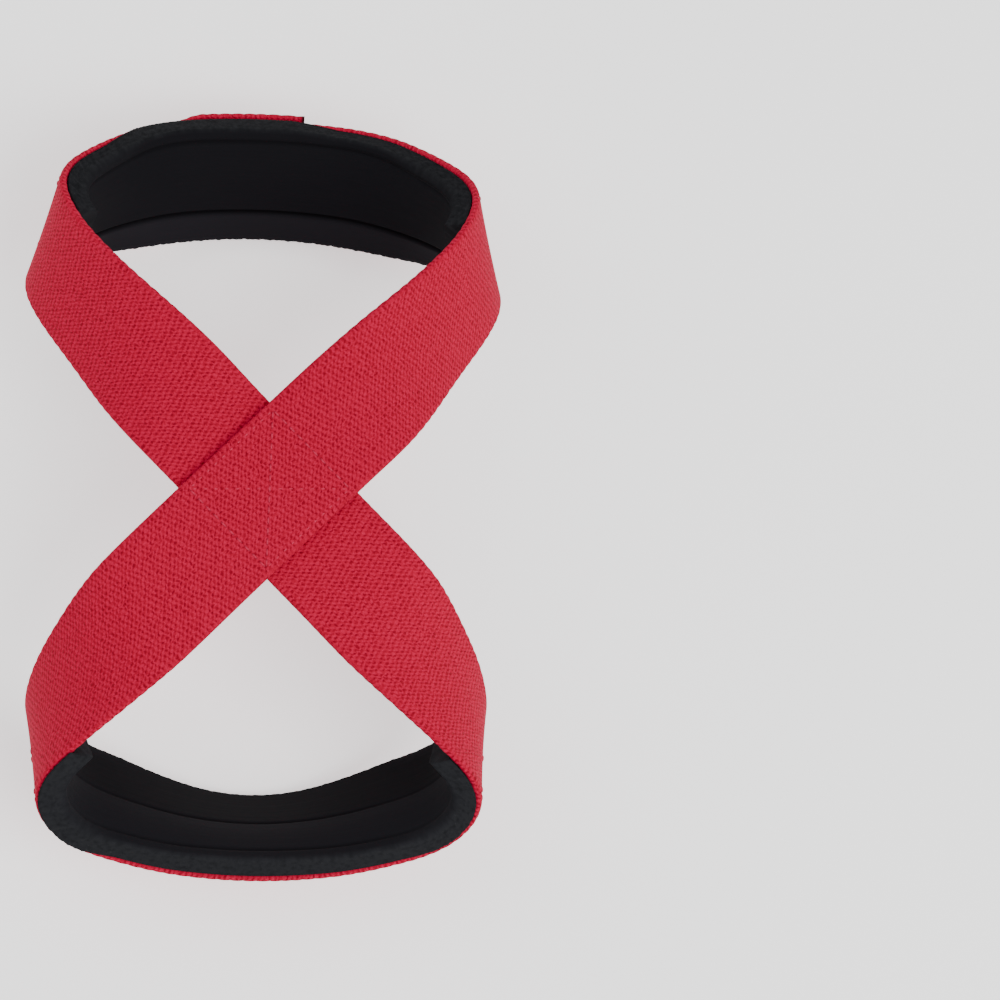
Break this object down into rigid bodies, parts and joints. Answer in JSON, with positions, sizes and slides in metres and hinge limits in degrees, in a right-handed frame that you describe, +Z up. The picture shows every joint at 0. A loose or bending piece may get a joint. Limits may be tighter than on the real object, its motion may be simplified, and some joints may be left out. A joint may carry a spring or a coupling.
{
  "type": "figure-eight lifting strap",
  "caption": "Padded figure-eight webbing strap with a wrist loop at each end of a stitched crossing, for gripping a lifting bar.",
  "frame": {"origin": "middle of the footprint, on the floor that the strap lies on", "axes": "+Z up, +Y along the figure eight from the lower loop to the upper loop, +X across it"},
  "size_m": [0.1484, 0.2422, 0.0741],
  "materials": {
    "webbing": "heavy crimson polyester webbing, plain woven, matt with a soft sheen",
    "upper_pad": "black foam rubber with a smooth matt face and rough cut sides",
    "lower_pad": "black foam rubber with a smooth matt face and rough cut sides"
  },
  "bodies": {
    "root": {"webbing": "webbing", "upper_pad": "upper_pad", "lower_pad": "lower_pad"}
  },
  "joints": []
}
